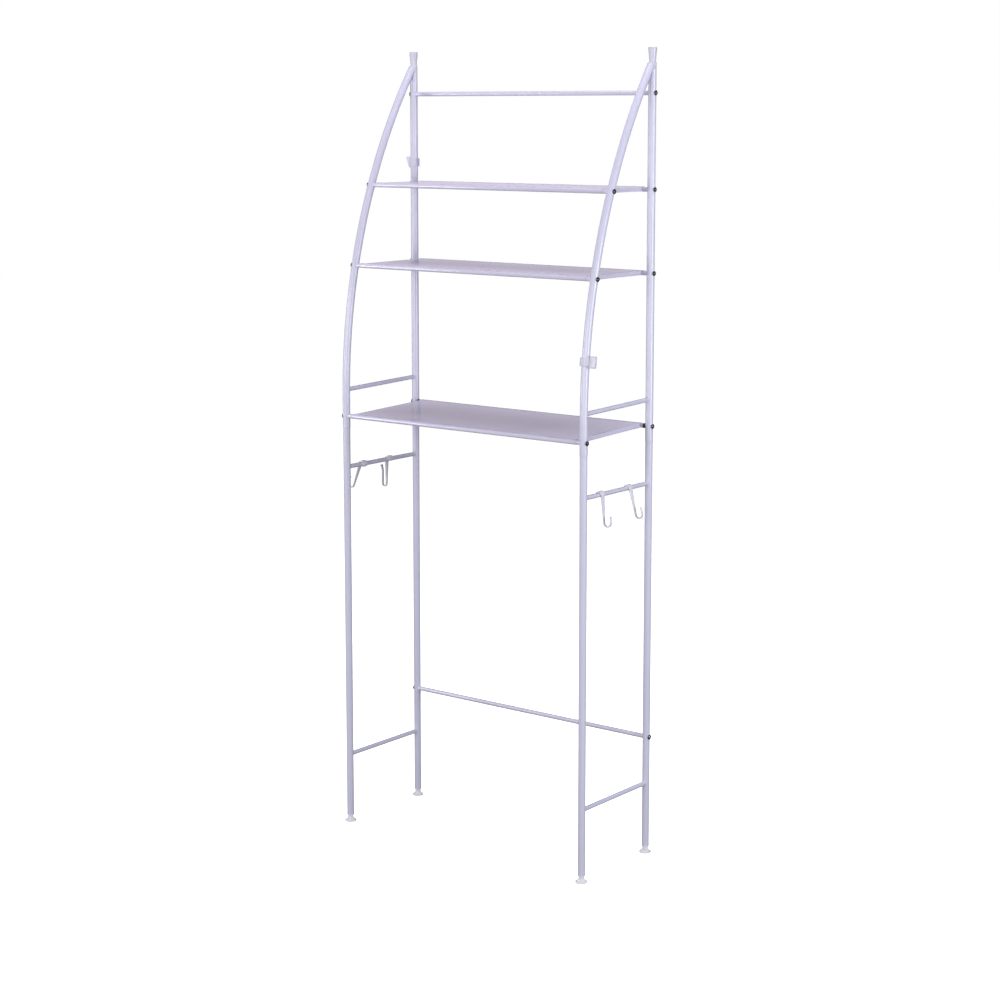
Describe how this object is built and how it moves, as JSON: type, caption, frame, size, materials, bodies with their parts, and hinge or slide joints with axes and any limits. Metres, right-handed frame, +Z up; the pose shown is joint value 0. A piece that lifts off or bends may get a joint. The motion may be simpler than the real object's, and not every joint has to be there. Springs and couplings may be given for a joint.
{
  "type": "over the toilet storage rack",
  "caption": "Tall open tube rack that stands over a toilet, with flat metal shelves on bowed side frames, push-on hooks and clips, and levelling feet.",
  "frame": {"origin": "on the floor, midway between the four feet", "axes": "+X to the rack's right side, +Y to the wall behind it, +Z up"},
  "size_m": [0.741, 0.2664, 1.753],
  "materials": {
    "powder_coated_steel": "satin powder coat, white with a lilac cast",
    "moulded_plastic": "satin moulded",
    "foot_plastic": "satin moulded",
    "zinc_plated_steel": "bright zinc plate",
    "black_nickel_steel": "polished black nickel",
    "black_plastic": "satin moulded"
  },
  "bodies": {
    "frame": {"left_front_leg": "powder_coated_steel", "left_rear_leg": "powder_coated_steel", "left_rear_upright": "powder_coated_steel", "left_front_bow": "powder_coated_steel", "left_floor_bar": "powder_coated_steel", "left_hook_bar": "powder_coated_steel", "left_guard_bar": "powder_coated_steel", "left_top_cap": "moulded_plastic", "right_front_leg": "powder_coated_steel", "right_rear_leg": "powder_coated_steel", "right_rear_upright": "powder_coated_steel", "right_front_bow": "powder_coated_steel", "right_floor_bar": "powder_coated_steel", "right_hook_bar": "powder_coated_steel", "right_guard_bar": "powder_coated_steel", "right_top_cap": "moulded_plastic", "leg_plugs": "moulded_plastic", "top_bar": "powder_coated_steel", "back_bar": "powder_coated_steel", "top_bar_screws": "black_nickel_steel", "top_bar_inserts": "zinc_plated_steel", "back_bar_screws": "black_nickel_steel", "back_bar_inserts": "zinc_plated_steel", "upper_shelf_panel": "powder_coated_steel", "upper_shelf_front_rail": "powder_coated_steel", "upper_shelf_rear_rail": "powder_coated_steel", "upper_shelf_screws": "black_nickel_steel", "upper_shelf_inserts": "zinc_plated_steel", "middle_shelf_panel": "powder_coated_steel", "middle_shelf_front_rail": "powder_coated_steel", "middle_shelf_rear_rail": "powder_coated_steel", "middle_shelf_screws": "black_nickel_steel", "middle_shelf_inserts": "zinc_plated_steel", "lower_shelf_panel": "powder_coated_steel", "lower_shelf_front_rail": "powder_coated_steel", "lower_shelf_rear_rail": "powder_coated_steel", "lower_shelf_screws": "black_nickel_steel", "lower_shelf_inserts": "zinc_plated_steel", "lower_shelf_rear_spacers": "black_plastic"},
    "left_front_foot": {"left_front_foot_pad": "foot_plastic", "left_front_foot_stud": "zinc_plated_steel"},
    "left_rear_foot": {"left_rear_foot_pad": "foot_plastic", "left_rear_foot_stud": "zinc_plated_steel"},
    "right_front_foot": {"right_front_foot_pad": "foot_plastic", "right_front_foot_stud": "zinc_plated_steel"},
    "right_rear_foot": {"right_rear_foot_pad": "foot_plastic", "right_rear_foot_stud": "zinc_plated_steel"},
    "left_front_hook": {"left_front_hook": "moulded_plastic"},
    "left_rear_hook": {"left_rear_hook": "moulded_plastic"},
    "right_front_hook": {"right_front_hook": "moulded_plastic"},
    "right_rear_hook": {"right_rear_hook": "moulded_plastic"},
    "left_clip": {"left_clip": "moulded_plastic"},
    "right_clip": {"right_clip": "moulded_plastic"}
  },
  "joints": [
    {"name": "left_front_foot_screw", "type": "slide", "parent": "frame", "child": "left_front_foot", "axis": [0, 0, -1], "range_m": [0, 0.008]},
    {"name": "left_rear_foot_screw", "type": "slide", "parent": "frame", "child": "left_rear_foot", "axis": [0, 0, -1], "range_m": [0, 0.008]},
    {"name": "right_front_foot_screw", "type": "slide", "parent": "frame", "child": "right_front_foot", "axis": [0, 0, -1], "range_m": [0, 0.008]},
    {"name": "right_rear_foot_screw", "type": "slide", "parent": "frame", "child": "right_rear_foot", "axis": [0, 0, -1], "range_m": [0, 0.008]},
    {"name": "left_front_hook_turn", "type": "hinge", "parent": "frame", "child": "left_front_hook", "pos_m": [-0.328, -0.0665, 0.8265], "axis": [0, 1, 0], "continuous": true},
    {"name": "left_rear_hook_turn", "type": "hinge", "parent": "frame", "child": "left_rear_hook", "pos_m": [-0.328, 0.0235, 0.8265], "axis": [0, 1, 0], "continuous": true},
    {"name": "right_front_hook_turn", "type": "hinge", "parent": "frame", "child": "right_front_hook", "pos_m": [0.328, -0.06, 0.8265], "axis": [0, 1, 0], "continuous": true},
    {"name": "right_rear_hook_turn", "type": "hinge", "parent": "frame", "child": "right_rear_hook", "pos_m": [0.328, 0.042, 0.8265], "axis": [0, 1, 0], "continuous": true},
    {"name": "left_clip_slide", "type": "slide", "parent": "frame", "child": "left_clip", "axis": [0, 0, 1], "range_m": [-0.027, 0.132]},
    {"name": "right_clip_slide", "type": "hinge", "parent": "frame", "child": "right_clip", "pos_m": [0.328, 1.12, 0.99], "axis": [-1, 0, 0], "range_deg": [-3.9, 6.7]}
  ]
}
